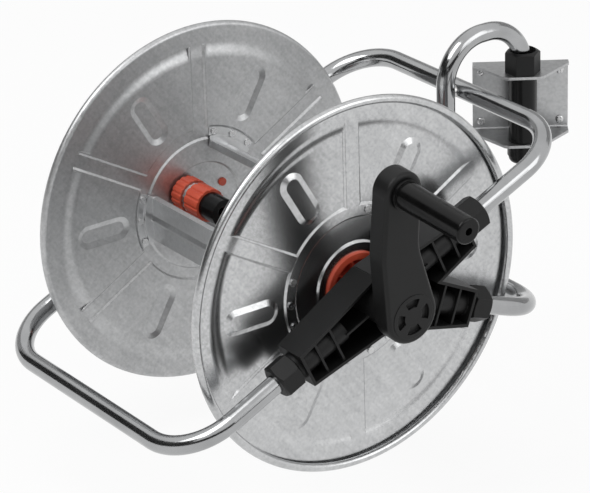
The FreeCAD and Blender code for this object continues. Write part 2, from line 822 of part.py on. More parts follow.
def disc(label, frame, flip):
    """Pressed sheet disc: hub, six spokes, six oblong bulges and a curled rim."""
    body = new_body(label, frame)
    flats = [
        ("centre_radius", "centre_face"),
        ("centre_radius + centre_rise", "panel_face"),
        ("hub_ring_inner - hub_ring_slope", "panel_face"),
        ("hub_ring_inner", "web_face"),
        ("hub_ring_outer", "web_face"),
        ("hub_ring_outer + hub_ring_slope", "panel_face"),
    ]
    sweep = [
        ("panel_outer", "panel_face"),
        ("panel_outer + panel_slope / 2", "panel_face + panel_recess / 2"),
        ("panel_outer + panel_slope", "web_face"),
    ]

    def curved(points):
        """The sweep of the panel's edge as two arcs, turning left and then right."""
        first, middle, last = points
        return [(*first, "panel_curve", 1, False), (*middle, "panel_curve", -1, False), last]

    def underside(points):
        """The same points one sheet lower, in the other direction."""
        return [(radius, f"{face} - sheet") for radius, face in reversed(points)]

    inner_radius = "curl_radius - sheet"
    profile = new_sketch(body, "XZ_Plane")
    add_loop(profile, [
        ("0", "centre_face"), *flats, *curved(sweep),
        ("curl_centre", "web_face", inner_radius, 1, True),
        (f"curl_centre - ({inner_radius})", "rim_plane"),
        ("curl_centre - curl_radius", "rim_plane", "curl_radius", -1, True),
        ("curl_centre", "web_face - sheet"),
        *curved(underside(sweep)), *underside(flats),
        ("0", "centre_face - sheet"),
    ])
    spin(body, profile)

    def channel(kind, inset, overrun, top, bottom):
        """A raised channel along Y, as the spoke's outside or its hollow."""
        sketch = new_sketch(body, "XZ_Plane", f"-(hub_ring_outer - {overrun})")
        half = f"spoke_width / 2 - {inset}"
        foot = f"{half} + spoke_slope"
        add_loop(sketch, [(f"-({foot})", bottom), (foot, bottom), (half, top), (f"-({half})", top)])
        length = f"panel_outer + panel_slope - hub_ring_outer + 2 * {overrun}"
        return extrude(body, kind, sketch, length, backward=(kind == "Pad"))

    spokes = [channel("Pad", "0", "0", "web_face", "panel_face - sheet"),
              channel("Pocket", "sheet", "hub_ring_slope", "web_face - sheet", "panel_face - 2 * sheet")]
    around(body, spokes, SPOKES)
    bulges = [oblong(body, "Pad", "0", "panel_face - sheet", "oblong_height + sheet"),
              oblong(body, "Pocket", "sheet", "panel_face - 2 * sheet", "oblong_height + sheet")]
    around(body, bulges, SPOKES)
    holes = new_sketch(body, "XY_Plane")
    for x, y in rivet_places(flip):
        add_circle(holes, x, y, "rivet_radius + seat_fit")
    hub_holes(holes, label)
    pocket(body, holes, backward=True)


def oblong(body, kind, inset, level, depth):
    """A radial stadium, as the bulge's outside or its hollow."""
    sketch = new_sketch(body, "XY_Plane", level)
    half_width = f"oblong_width / 2 - {inset}"
    near_end = "oblong_circle - (oblong_length - oblong_width) / 2"
    far_end = "oblong_circle + (oblong_length - oblong_width) / 2"
    add_loop(sketch, [
        (near_end, f"-({half_width})"),
        (far_end, f"-({half_width})", half_width, 1, False),
        (f"{far_end} + {half_width}", "0", half_width, 1, False),
        (far_end, half_width),
        (near_end, half_width, half_width, 1, False),
        (f"{near_end} - ({half_width})", "0", half_width, 1, False),
    ])
    feature = extrude(body, kind, sketch, depth, backward=(kind == "Pocket"))
    bind(feature, "TaperAngle", "-atan(oblong_slope / oblong_height)")
    return feature


def hub_holes(sketch, label):
    """The openings at a disc's centre."""
    if label == "front_disc":
        add_circle(sketch, "0", "0", "drive_cup_radius + seat_fit")
        return
    add_circle(sketch, *polar("port_circle", "-port_angle"), "nipple_radius + seat_fit")
    for angle in peg_angles("-"):
        add_circle(sketch, *polar("port_circle", angle), "peg_radius + seat_fit")


def peg_angles(flip):
    """The locating pegs, one on each side of the outlet."""
    return f"{flip}peg_angle", f"{flip}(2 * port_angle - peg_angle)"


def bar_angle(number):
    """Direction of a core bar."""
    return f"(first_bar + {360 / BARS * number})"


def rivet_places(flip):
    """Centres of the nine rivets of a disc."""
    return [polar("rivet_circle", f"{flip}({bar_angle(number)} + {step} * rivet_step)")
            for number in range(BARS) for step in (-1, 0, 1)]


def core_bar(number):
    """Folded sheet bar of the hose core, hemmed and ribbed, with feet on the hub rings."""
    body = new_body(f"core_bar_{number + 1}", turned(AXLE, bar_angle(number)))
    web = new_sketch(body, "XY_Plane")
    inner, half, rib = "bar_radius - sheet", "bar_width / 2", "bar_rib_width / 2"
    add_loop(web, [
        ("bar_radius - bar_hem", f"-({half})"), ("bar_radius", f"-({half})"),
        ("bar_radius", f"-({rib})"), ("bar_radius + bar_rib_height", "0"), ("bar_radius", rib),
        ("bar_radius", half), ("bar_radius - bar_hem", half),
        ("bar_radius - bar_hem", f"{half} - sheet"), (inner, f"{half} - sheet"),
        (inner, f"{rib} - sheet"), ("bar_radius + bar_rib_height - sheet", "0"),
        (inner, f"-({rib} - sheet)"), (inner, f"-({half} - sheet)"),
        ("bar_radius - bar_hem", f"-({half} - sheet)"),
    ])
    pad(body, web, "2 * bar_end", symmetric=True)
    feet = new_sketch(body, "XZ_Plane")
    riser = "hub_ring_inner + sheet"
    for sign in ("", "-"):
        add_loop(feet, [
            ("bar_radius - sheet", f"{sign}(bar_end - sheet)"),
            (f"{riser} + sheet", f"{sign}(bar_end - sheet)"),
            (f"{riser} + sheet", f"{sign}(foot_face - sheet)"),
            ("foot_outer", f"{sign}(foot_face - sheet)"), ("foot_outer", f"{sign}foot_face"),
            (riser, f"{sign}foot_face"), (riser, f"{sign}bar_end"), ("bar_radius - sheet", f"{sign}bar_end"),
        ])
    spin(body, feet, angle="foot_angle")
    holes = new_sketch(body, "XY_Plane")
    for step in (-1, 0, 1):
        add_circle(holes, *polar("rivet_circle", f"{step} * rivet_step"), "rivet_radius + seat_fit")
    pocket(body, holes, symmetric=True)


def rivets(label, frame, flip):
    """Rivets through a disc's hub ring and the bars' feet."""
    body = new_body(label, frame)
    inner = "foot_face - sheet - rivet_head"
    for radius, level, length in (
            ("rivet_radius", inner, "2 * sheet + 2 * rivet_head"),
            ("rivet_head_radius", "web_face", "rivet_head"),
            ("rivet_head_radius", inner, "rivet_head")):
        sketch = new_sketch(body, "XY_Plane", level)
        for x, y in rivet_places(flip):
            add_circle(sketch, x, y, radius)
        pad(body, sketch, length)


def drive_hub():
    """Orange hub in the front disc: flange, ribbed cup and square-bored boss."""
    body = new_body("drive_hub", CRANK)
    floor = "centre_face - sheet - drive_cup_depth"
    cup_inner = "drive_cup_radius - drive_cup_wall"
    turned_solid(body, [
        ("0", floor), ("drive_cup_radius", floor), ("drive_cup_radius", "centre_face"),
        ("drive_flange_radius", "centre_face"),
        ("drive_flange_radius", "centre_face + drive_flange / 2"),
        ("drive_flange_radius - drive_flange / 2", "centre_face + drive_flange"),
        (cup_inner, "centre_face + drive_flange"), (cup_inner, f"{floor} + drive_cup_wall"),
        ("drive_boss_radius", f"{floor} + drive_cup_wall"), ("drive_boss_radius", "hub_boss_end"),
        ("0", "hub_boss_end"),
    ])
    rib = new_sketch(body, "XY_Plane", floor)
    span = f"({cup_inner} - drive_boss_radius) / 2 + seat_fit"
    rectangle(rib, f"({cup_inner} + drive_boss_radius) / 2", "0", span, "drive_rib / 2")
    first = pad(body, rib, f"centre_face - ({floor})")
    around(body, [first], DRIVE_RIBS)
    bore = new_sketch(body, "XY_Plane")
    square(bore, "drive_square + 2 * seat_fit")
    pocket(body, bore, backward=True)


def drive_shaft():
    """Shaft with a square at each end and a round journal in the front bush."""
    body = new_body("drive_shaft", CRANK)
    inner_end = "centre_face - sheet - drive_cup_depth"
    journal = new_sketch(body, "XY_Plane", "hub_boss_end")
    add_circle(journal, "0", "0", "journal_radius")
    pad(body, journal, "crank_back - hub_boss_end")
    ends = new_sketch(body, "XY_Plane", inner_end)
    square(ends, "drive_square")
    pad(body, ends, f"screw_seat - ({inner_end})")
    screw = new_sketch(body, "XY_Plane", "screw_seat")
    add_circle(screw, "0", "0", "crank_screw_radius + seat_fit")
    pocket(body, screw, "crank_screw_length")


def crank_arm():
    """Bowed crank arm, leaning outwards, with its boss bored and faced square to the axle."""
    body = new_body("crank_arm", LEANED)
    outline = new_sketch(body, "XY_Plane", "crank_back")
    add_loop(outline, [
        polar("crank_boss_radius", "-boss_turn"), ("crank_knee", "-crank_waist"),
        ("crank_length", "-crank_tip_radius", "crank_tip_radius", 1, False),
        ("crank_length + crank_tip_radius", "0", "crank_tip_radius", 1, False),
        ("crank_length", "crank_tip_radius"), ("crank_knee", "crank_width / 2 + crank_bow"),
        ("0", "crank_boss_radius", "crank_boss_radius", 1, False),
        ("-crank_boss_radius", "0", "crank_boss_radius", 1, False),
    ])
    pad(body, outline, "crank_thickness")
    knee, front = value("crank_knee"), value("crank_front")
    round_edges(body, "crank_bend", lambda edge: all(near(v.Point.x, knee) for v in edge.Vertexes))
    round_edges(body, "crank_round", lambda edge: all(near(v.Point.z, front) for v in edge.Vertexes))
    hollow = new_sketch(body, "XY_Plane", "crank_back")
    rectangle(hollow, "(crank_boss_radius + crank_length - crank_tip_radius) / 2", "crank_bow",
              "(crank_length - crank_boss_radius - crank_tip_radius) / 2", "crank_width / 2 - 2 * crank_web")
    pocket(body, hollow, "crank_thickness - crank_web", backward=True)
    seat = new_sketch(body, "XY_Plane", "crank_front")
    add_circle(seat, "0", "0", "crank_cap_spigot_radius + seat_fit")
    pocket(body, seat, "crank_front - screw_seat")
    pin = new_sketch(body, "XY_Plane", "crank_back")
    add_circle(pin, "crank_length", "0", "pin_radius + seat_fit")
    pocket(body, pin, backward=True)
    upright = "placement(vector(0; 0; crank_back); rotation(vector(0; 1; 0); crank_lean))"
    facing = "2 * crank_boss_radius * sin(crank_lean)"
    place = f"{upright} * {shifted('0', '0', f'-({facing})')}"
    rod(body, "Subtractive", "2 * crank_boss_radius", facing, place)
    side = "drive_square + 2 * seat_fit"
    bore = body.newObject("PartDesign::SubtractiveBox", "crank_bore")
    for name, text in (("Length", side), ("Width", side), ("Height", "crank_thickness")):
        bind(bore, name, text)
    corner = f"-({side}) / 2"
    bind(bore, "Placement", f"{upright} * {shifted(corner, corner, '0')}")


def crank_cap():
    """Slotted cap over the crank's boss."""
    body = new_body("crank_cap", LEANED)
    spigot = new_sketch(body, "XY_Plane", "crank_front - crank_cap_spigot")
    add_circle(spigot, "0", "0", "crank_cap_spigot_radius")
    pad(body, spigot, "crank_cap_spigot")
    cover = new_sketch(body, "XY_Plane", "crank_front")
    add_circle(cover, "0", "0", "crank_cap_radius")
    pad(body, cover, "crank_cap_thickness")
    slot = new_sketch(body, "XY_Plane", "crank_front + crank_cap_thickness")
    half = "cap_slot_angle / 2"
    add_loop(slot, [
        polar("cap_slot_inner", f"-{half}"),
        (*polar("cap_slot_outer", f"-{half}"), "cap_slot_outer", 1, False),
        polar("cap_slot_outer", half),
        (*polar("cap_slot_inner", half), "cap_slot_inner", -1, False),
    ])
    around(body, [pocket(body, slot, "cap_slot_depth")], CAP_SLOTS)


def crank_screw():
    """Screw that holds the crank on the shaft, under the cap."""
    tip = "screw_seat - crank_screw_length + seat_fit"
    top = "screw_seat + crank_screw_head"
    turned_solid(new_body("crank_screw", AXLE), [
        ("0", tip), ("crank_screw_radius", tip), ("crank_screw_radius", "screw_seat"),
        ("crank_screw_head_radius", "screw_seat"), ("crank_screw_head_radius", top), ("0", top),
    ])


def grip():
    """Turning grip with a collar and an end eye, on a headed pin in the crank's tip."""
    frame = f"{LEANED} * {shifted('crank_length', '0', '0')}"
    turned_solid(new_body("grip_pin", frame), [
        ("0", "crank_back"), ("pin_radius", "crank_back"), ("pin_radius", "pin_end - pin_head"),
        ("pin_head_radius", "pin_end - pin_head"), ("pin_head_radius", "pin_end"), ("0", "pin_end"),
    ])
    bore = "pin_radius + run_clearance"
    chamber = "pin_head_radius + slide_clearance"
    turned_solid(new_body("crank_grip", frame), [
        (bore, "grip_base"), ("grip_collar_radius", "grip_base"),
        ("grip_collar_radius", "grip_base + grip_collar"), ("grip_radius", "grip_base + grip_collar"),
        ("grip_end_radius", "grip_end - grip_round", "grip_round", 1, False),
        ("grip_end_radius - grip_round", "grip_end"), ("grip_eye", "grip_end"),
        ("grip_eye", "pin_end + slide_clearance"), (chamber, "pin_end + slide_clearance"),
        (chamber, "pin_end - pin_head - slide_clearance"), (bore, "pin_end - pin_head - slide_clearance"),
    ])


def rear_hub():
    """Orange water manifold: flange on the rear disc, hollow journal, pegs and outlet port."""
    body = new_body("rear_hub", REAR)
    turned_solid(body, [
        ("0", "centre_face"), ("rear_flange_radius", "centre_face"),
        ("rear_flange_radius", "hub_boss_end"), ("journal_radius", "hub_boss_end"),
        ("journal_radius", "journal_end"), ("0", "journal_end"),
    ])
    pegs = new_sketch(body, "XY_Plane", "centre_face")
    for angle in peg_angles("-"):
        add_circle(pegs, *polar("port_circle", angle), "peg_radius")
    pad(body, pegs, "sheet + peg_height", backward=True)
    turn = "placement(vector(0; 0; 0); rotation(vector(0; 0; 1); -port_angle))"
    rod(body, "Subtractive", "nipple_radius + seat_fit", "channel_plane - centre_face",
        f"{turn} * {shifted('port_circle', '0', 'centre_face')}")
    rod(body, "Subtractive", "outlet_bore", "port_circle", f"{turn} * {along_x('0', '0', 'channel_plane')}")
    rod(body, "Subtractive", "water_bore", "journal_end - channel_plane",
        shifted("0", "0", "channel_plane"))
    rod(body, "Subtractive", "stem_bore", "inlet_stem",
        shifted("0", "0", "rear_boss_end - inlet_stem - end_play"))


def fluted_ring(body, outer, start, length, count, depth):
    """Cut grip flutes along a turned piece."""
    sketch = new_sketch(body, "XY_Plane", start)
    add_circle(sketch, f"{outer} + {depth}", "0", f"2 * {depth}")
    around(body, [pocket(body, sketch, length, backward=True)], count)


def hose_connector():
    """Outlet nipple and the snap connector on it: collar, bright ring, body and hose nut."""
    frame = f"{AXLE} * {shifted('port_x', 'port_y', 'sheet - centre_face')}"
    turned_solid(new_body("outlet_nipple", frame), [
        ("outlet_bore", "-nipple_plug"), ("nipple_radius", "-nipple_plug"), ("nipple_radius", "0"),
        ("nipple_flange_radius", "0"), ("nipple_flange_radius", "nipple_flange"),
        ("nipple_radius", "nipple_flange"), ("nipple_radius", "nipple_length"),
        ("outlet_bore", "nipple_length"),
    ])
    collar = new_body("connector_collar", frame)
    sleeve = "core_radius + slide_clearance"
    counterbore = "trim_ring_radius + slide_clearance"
    turned_solid(collar, [
        (sleeve, "collar_start"), ("collar_radius", "collar_start"), ("collar_radius", "collar_end"),
        (counterbore, "collar_end"), (counterbore, "collar_end - collar_travel - slide_clearance"),
        (sleeve, "collar_end - collar_travel - slide_clearance"),
    ])
    fluted_ring(collar, "collar_radius", "collar_start", "collar_length", COLLAR_GROOVES, "collar_groove")
    turned_solid(new_body("connector_ring", frame), [
        ("core_radius + seat_fit", "collar_end"), ("trim_ring_radius", "collar_end"),
        ("trim_ring_radius", "body_start"), ("core_radius + seat_fit", "body_start"),
    ])
    core_start = "collar_start + slide_clearance"
    body = new_body("connector_body", frame)
    turned_solid(body, [
        ("nipple_radius + seat_fit", core_start), ("core_radius", core_start),
        ("core_radius", "body_start"), ("body_radius", "body_start"), ("body_radius", "body_end"),
        ("hose_radius - sheet", "body_end"), ("hose_radius - sheet", "nipple_length + seat_fit"),
        ("nipple_radius + seat_fit", "nipple_length + seat_fit"),
    ])
    fluted_ring(body, "body_radius", "body_start", "body_length", BODY_GROOVES, "collar_groove")
    turned_solid(new_body("connector_nut", frame), [
        ("hose_radius", "body_end"), ("hose_nut_radius", "body_end"),
        ("hose_nut_radius", "body_end + hose_nut_length"), ("hose_radius", "body_end + hose_nut_length"),
    ])


def build():
    """Every piece of the reel."""
    wall_bracket()
    pivot_pieces()
    swing_arm()
    frame_tube("frame_tube_upper", "upper_reach", "upper_angle", "right_arm")
    frame_tube("frame_tube_lower", "lower_reach", "lower_angle", "right_arm")
    frame_tube("frame_tube_left", "left_reach", "left_angle", "left_arm")
    arm_welds()
    for side, frame, flip, boss in (("front", AXLE, "", "front_boss"), ("rear", REAR, "-", "rear_boss")):
        spider(f"{side}_spider", frame, flip, boss)
        tube_nuts(f"{side}_tube_nuts", frame, flip)
        bush(f"{side}_bush", frame)
        disc(f"{side}_disc", frame, flip)
        rivets(f"{side}_rivets", frame, flip)
    water_inlet()
    for number in range(BARS):
        core_bar(number)
    drive_hub()
    drive_shaft()
    crank_arm()
    crank_cap()
    crank_screw()
    grip()
    rear_hub()
    hose_connector()


def check():
    """Stop on any failed object or bad shape."""
    for item in doc.Objects:
        if "Invalid" in item.State or "Error" in item.State:
            raise RuntimeError(f"{item.Name} failed: {item.State}")
    for piece in pieces:
        if piece.Shape.isNull() or not piece.Shape.isValid() or not piece.Shape.Solids:
            raise RuntimeError(f"{piece.Label} has a bad shape")


build()
doc.recompute()
check()
os.makedirs("parts", exist_ok=True)
for piece in pieces:
    piece.Shape.exportStep(f"parts/{piece.Label}.step")
    print(piece.Label, len(piece.Shape.Solids), round(piece.Shape.Volume))
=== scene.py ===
"""Looks of the wall-mounted hose reel: finishes, wall screws, studio light and camera."""
import json
import math

import bmesh
import bpy
from mathutils import Matrix, Vector

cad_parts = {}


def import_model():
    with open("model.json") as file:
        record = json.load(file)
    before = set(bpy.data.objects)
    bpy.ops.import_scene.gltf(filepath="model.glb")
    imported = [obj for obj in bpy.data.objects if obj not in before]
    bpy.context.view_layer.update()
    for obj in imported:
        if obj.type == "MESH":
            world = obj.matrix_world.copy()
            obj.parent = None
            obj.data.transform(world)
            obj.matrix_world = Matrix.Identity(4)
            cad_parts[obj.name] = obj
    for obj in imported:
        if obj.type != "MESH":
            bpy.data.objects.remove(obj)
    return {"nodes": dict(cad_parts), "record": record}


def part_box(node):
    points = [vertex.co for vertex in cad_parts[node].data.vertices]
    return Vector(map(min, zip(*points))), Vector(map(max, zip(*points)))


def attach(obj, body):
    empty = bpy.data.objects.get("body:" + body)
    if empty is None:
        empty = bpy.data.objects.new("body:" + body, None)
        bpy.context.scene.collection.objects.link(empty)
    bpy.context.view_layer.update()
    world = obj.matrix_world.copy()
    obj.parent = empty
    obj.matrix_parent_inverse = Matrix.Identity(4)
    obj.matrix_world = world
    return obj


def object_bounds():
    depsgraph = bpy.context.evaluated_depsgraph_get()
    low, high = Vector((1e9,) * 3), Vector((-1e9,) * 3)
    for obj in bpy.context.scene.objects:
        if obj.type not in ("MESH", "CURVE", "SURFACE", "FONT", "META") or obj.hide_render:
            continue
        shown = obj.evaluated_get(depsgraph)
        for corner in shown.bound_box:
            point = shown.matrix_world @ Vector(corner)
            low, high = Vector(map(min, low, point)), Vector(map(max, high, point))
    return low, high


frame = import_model()
cad_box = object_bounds()

# One millimetre, in metres
MM = 0.001

# Camera, fitted to the photograph's disc outlines and tube directions; its place is from the reel's middle
CAMERA_OFFSET = Vector((0.019047, -2.993108, 1.320661))
CAMERA_PITCH = math.radians(23.902)
CAMERA_ROLL = math.radians(1.826)
CAMERA_LENS = 192.617
CAMERA_SENSOR = 36.0

# Wall screws, in metres, with the angles of their slots in degrees
PLATE_SHEET = 0.003
SCREW_HEAD_RADIUS = 0.0044
SCREW_HEAD_HEIGHT = 0.0028
SCREW_SHANK_RADIUS = 0.0026
SCREW_SHANK_LENGTH = 0.0028
SCREW_SLOT_WIDTH = 0.0014
SCREW_SLOT_DEPTH = 0.0016
SCREW_SLOT_ANGLES = (25, 84, 62, 97)

# The straight share of a screw head's height, and the steps of the dome above it
SCREW_HEAD_SIDE = 0.35
SCREW_DOME_STEPS = 7

# Steps of a round mesh, and the distance within which its points are merged
ROUND_STEPS = 48
MERGE_DISTANCE = 1e-6

# Finish of each material slot, and of the nodes that differ from their slot
SLOT_FINISH = {
    "galvanised": "sheet", "rivet_steel": "zinc", "chrome": "chrome", "black_plastic": "grained",
    "orange_plastic": "orange", "bright_trim": "trim", "bearing_plastic": "bearing", "seal_rubber": "rubber",
}
NODE_FINISH = {
    "front_disc": "front_sheet", "rear_disc": "rear_sheet", "wall_bracket": "plate", "arm_welds": "weld",
    "pivot_sleeve": "smooth", "pivot_ring": "smooth", "crank_grip": "smooth", "connector_nut": "smooth",
}

# The values that a noise mostly keeps to, and the samples of a softened edge
NOISE_LOW = 0.3
NOISE_HIGH = 0.7
EDGE_SAMPLES = 4

# Zinc coating: each layer's share of the pattern, the span of their sum and the swing of the roughness
CRYSTAL_SHARE = 0.1
GRAIN_SHARE = 0.4
CLOUD_SHARE = 0.35
STREAK_SHARE = 0.35
ZINC_LOW = 0.42
ZINC_HIGH = 0.78
ZINC_ROUGHNESS_SWING = 0.02

# The sheet's rolling direction, turned from upright, and how far its streaks are drawn out
ROLLING_TURN = (math.radians(40), 0, math.radians(-55))
ROLLING_STRETCH = (1, 1, 9)

# The drawn edge of the discs' panels: its radii and the depth of its relief, in metres
DRAWN_INNER_RADIUS = 0.161
DRAWN_OUTER_RADIUS = 0.179
DRAWN_DEPTH = 0.0022

# How far a normal leans along the axle where a disc's face counts fully as its outer or inner side
SIDE_LEAN = 0.5

# Floor, in metres, with the tone of its paint and the share that glows white
FLOOR_GAP = 0.06
FLOOR_SIZE = 12.0
FLOOR_PAINT = 0.9
FLOOR_GLOW = 0.9

# Curtains round the reel: heights from its middle in metres, and arcs in degrees
CURTAIN_RADIUS = 5.0
CURTAIN_LOW = 0.25
CURTAINS = {
    "dark_curtain": {"tone": 0.06, "height": 4.0, "arc": (145, 235)},
    "low_curtain": {"tone": 0.06, "height": 2.0, "arc": (235, 325)},
    "grey_curtain": {"tone": 0.7, "height": 3.6, "arc": (25, 145)},
}

# Strength of the white surroundings as a lamp and as they are seen
WORLD_LIGHT = 0.55
WORLD_SEEN = 1.0

# Softboxes: place from the reel's middle and size in metres, power in watts
SOFTBOXES = {
    "key": {"offset": Vector((-1.4, -1.2, 3.0)), "size": 2.2, "power": 60},
    "fill": {"offset": Vector((2.6, -1.6, 1.6)), "size": 2.2, "power": 24},
}


class Graph:
    """Node tree of a material or world, with short calls for its nodes."""

    def __init__(self, owner):
        owner.use_nodes = True
        self.owner = owner
        self.nodes = owner.node_tree.nodes
        self.links = owner.node_tree.links

    def put(self, socket, value):
        """Link an output to a socket, or set the socket's own value."""
        if isinstance(value, bpy.types.NodeSocket):
            self.links.new(value, socket)
        else:
            socket.default_value = value

    def node(self, kind, inputs=None, **settings):
        """Add a node with its settings and inputs."""
        made = self.nodes.new(f"ShaderNode{kind}")
        for name, value in settings.items():
            setattr(made, name, value)
        for name, value in (inputs or {}).items():
            self.put(made.inputs[name], value)
        return made

    def surface(self, **values):
        """Set the shader's inputs."""
        for name, value in values.items():
            self.put(self.nodes["Principled BSDF"].inputs[name.replace("_", " ")], value)

    def place(self, stretch=(1, 1, 1), turn=(0, 0, 0)):
        """Coordinates fixed to the object, along turned axes and stretched on each of them."""
        coordinates = self.node("TexCoord").outputs["Object"]
        mapping = self.node("Mapping", {"Vector": coordinates, "Scale": stretch, "Rotation": turn},
                            vector_type="TEXTURE")
        return mapping.outputs["Vector"]

    def noise(self, scale, detail=3, roughness=0.55, place=None):
        """Fractal noise from 0 to 1."""
        made = self.node("TexNoise", {"Vector": place or self.place(), "Scale": scale,
                                      "Detail": detail, "Roughness": roughness})
        return made.outputs["Fac"]

    def maths(self, kind, *values):
        """Arithmetic on numbers."""
        return self.node("Math", dict(enumerate(values)), operation=kind).outputs["Value"]

    def vectors(self, kind, *values):
        """Outputs of arithmetic on vectors: a Vector and a Value."""
        return self.node("VectorMath", dict(enumerate(values)), operation=kind).outputs

    def weighted(self, *layers):
        """Sum of values, each times its share."""
        total = 0.0
        for value, share in layers:
            total = self.maths("MULTIPLY_ADD", value, share, total)
        return total

    def span(self, value, low, high, start=NOISE_LOW, end=NOISE_HIGH, course="LINEAR"):
        """A number that goes from low to high while a value goes from start to end."""
        made = self.node("MapRange", {"Value": value, "From Min": start, "From Max": end,
                                      "To Min": low, "To Max": high}, interpolation_type=course)
        return made.outputs["Result"]

    def blend(self, factor, first, second):
        """A colour between two colours."""
        made = self.node("Mix", {"Factor": factor, "A": first, "B": second}, data_type="RGBA")
        return made.outputs["Result"]

    def mottled(self, noise, first, second):
        """A colour that goes from one to another with a noise."""
        return self.blend(self.span(noise, low=0.0, high=1.0), first, second)

    def relief(self, height, distance, strength, normal=None):
        """A bumped normal."""
        inputs = {"Height": height, "Distance": distance, "Strength": strength}
        if normal is not None:
            inputs["Normal"] = normal
        return self.node("Bump", inputs).outputs["Normal"]

    def rounded(self, radius):
        """The normal of edges softened by a small radius."""
        return self.node("Bevel", {"Radius": radius}, samples=EDGE_SAMPLES).outputs["Normal"]


def material_graph(name):
    """The graph of a new material."""
    return Graph(bpy.data.materials.new(name))


def grey(level, warmth=0.0):
    """A grey with a little warm or cool cast."""
    return (level * (1 + warmth), level, level * (1 - warmth), 1.0)


def reel_middle():
    """The point of the axle midway between the discs."""
    corners = [corner for name in ("front_disc", "rear_disc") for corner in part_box(name)]
    return sum(corners, Vector()) / len(corners)


def drawn_edge(graph, outward):
    """Relief that deepens the swept edge of a disc's panel, rising on its outer face."""
    joints = frame["record"]["behaviour"]["joints"]
    axle = Vector(next(joint["axis"] for joint in joints if joint["name"] == "drum_spin"))
    arm = graph.vectors("SUBTRACT", graph.place(), reel_middle())["Vector"]
    across = graph.vectors("CROSS_PRODUCT", arm, axle)["Vector"]
    radius = graph.vectors("LENGTH", across)["Value"]
    depth = graph.span(radius, low=-1.0, high=0.0, start=DRAWN_INNER_RADIUS, end=DRAWN_OUTER_RADIUS,
                       course="SMOOTHSTEP")
    normal = graph.node("TexCoord").outputs["Normal"]
    lean = graph.vectors("DOT_PRODUCT", normal, axle * outward)["Value"]
    side = graph.span(lean, low=-1.0, high=1.0, start=-SIDE_LEAN, end=SIDE_LEAN)
    return graph.maths("MULTIPLY", depth, side)


def galvanised(name, dark, light, crystal, rough, outward=None):
    """Zinc-coated sheet: crystals of differing tone, fine grain, clouds, rolling streaks and faint waves."""
    graph = material_graph(name)
    crystals = graph.node("TexVoronoi", {"Vector": graph.place(), "Scale": crystal, "Randomness": 1.0})
    tone = graph.node("SeparateColor", {"Color": crystals.outputs["Color"]}).outputs["Red"]
    grain = graph.noise(scale=300, detail=2, roughness=0.5)
    clouds = graph.noise(scale=16, detail=4)
    streaks = graph.noise(scale=220, roughness=0.6, place=graph.place(ROLLING_STRETCH, ROLLING_TURN))
    mixed = graph.weighted((tone, CRYSTAL_SHARE), (grain, GRAIN_SHARE), (clouds, CLOUD_SHARE),
                           (streaks, STREAK_SHARE))
    level = graph.span(mixed, low=0.0, high=1.0, start=ZINC_LOW, end=ZINC_HIGH)
    normal = graph.rounded(radius=0.0008)
    if outward is not None:
        normal = graph.relief(drawn_edge(graph, outward), DRAWN_DEPTH, strength=1.0, normal=normal)
    waves = graph.noise(scale=40, detail=2)
    normal = graph.relief(waves, distance=0.0006, strength=0.1, normal=normal)
    graph.surface(Base_Color=graph.blend(level, grey(dark, warmth=-0.012), grey(light, warmth=-0.008)),
                  Metallic=1.0,
                  Roughness=graph.span(mixed, low=rough + ZINC_ROUGHNESS_SWING,
                                       high=rough - ZINC_ROUGHNESS_SWING, start=ZINC_LOW, end=ZINC_HIGH),
                  Normal=graph.relief(grain, distance=0.00006, strength=0.1, normal=normal))
    return graph.owner


def chrome():
    """Bright plated tube with handling haze and fine specks."""
    graph = material_graph("chrome_plate")
    haze = graph.noise(scale=24, detail=4)
    specks = graph.noise(scale=700, detail=2)
    graph.surface(Base_Color=graph.mottled(haze, grey(0.34, warmth=-0.012), grey(0.42, warmth=-0.012)),
                  Metallic=1.0,
                  Roughness=graph.span(haze, low=0.12, high=0.18),
                  Normal=graph.relief(specks, distance=0.00005, strength=0.06))
    return graph.owner


def weld_metal():
    """Rippled, slightly heat-tinted weld bead under plating."""
    graph = material_graph("weld_bead")
    ripples = graph.noise(scale=260, detail=2)
    graph.surface(Base_Color=graph.mottled(ripples, grey(0.42, warmth=0.01), grey(0.62)),
                  Metallic=1.0,
                  Roughness=graph.span(ripples, low=0.22, high=0.36),
                  Normal=graph.relief(ripples, distance=0.0008, strength=0.5))
    return graph.owner


def zinc_steel():
    """Zinc-plated steel of rivets, screws and shafts."""
    graph = material_graph("zinc_steel")
    patches = graph.noise(scale=180)
    grain = graph.noise(scale=900, detail=2)
    soft = graph.rounded(radius=0.0004)
    graph.surface(Base_Color=graph.mottled(patches, grey(0.5, warmth=-0.01), grey(0.66)),
                  Metallic=1.0,
                  Roughness=graph.span(patches, low=0.2, high=0.34),
                  Normal=graph.relief(grain, distance=0.0001, strength=0.15, normal=soft))
    return graph.owner


def black_plastic(name, level, rough, grain_depth, edge):
    """Moulded black plastic with a fine grain and softened, slightly rubbed edges."""
    graph = material_graph(name)
    clouds = graph.noise(scale=30)
    grain = graph.noise(scale=1100, detail=2, roughness=0.7)
    soft = graph.rounded(edge)
    match = graph.vectors("DOT_PRODUCT", soft, graph.node("NewGeometry").outputs["Normal"])["Value"]
    worn = graph.span(match, low=1.0, high=0.0, start=0.9, end=1.0)
    dark = grey(level * 0.85)
    light = grey(level * 1.2, warmth=-0.02)
    rubbed = grey(level * 2.2)
    graph.surface(Base_Color=graph.blend(worn, graph.mottled(clouds, dark, light), rubbed),
                  Roughness=graph.span(clouds, low=rough - 0.04, high=rough + 0.06),
                  Specular_IOR_Level=0.22,
                  Normal=graph.relief(grain, grain_depth, strength=0.35, normal=soft))
    return graph.owner


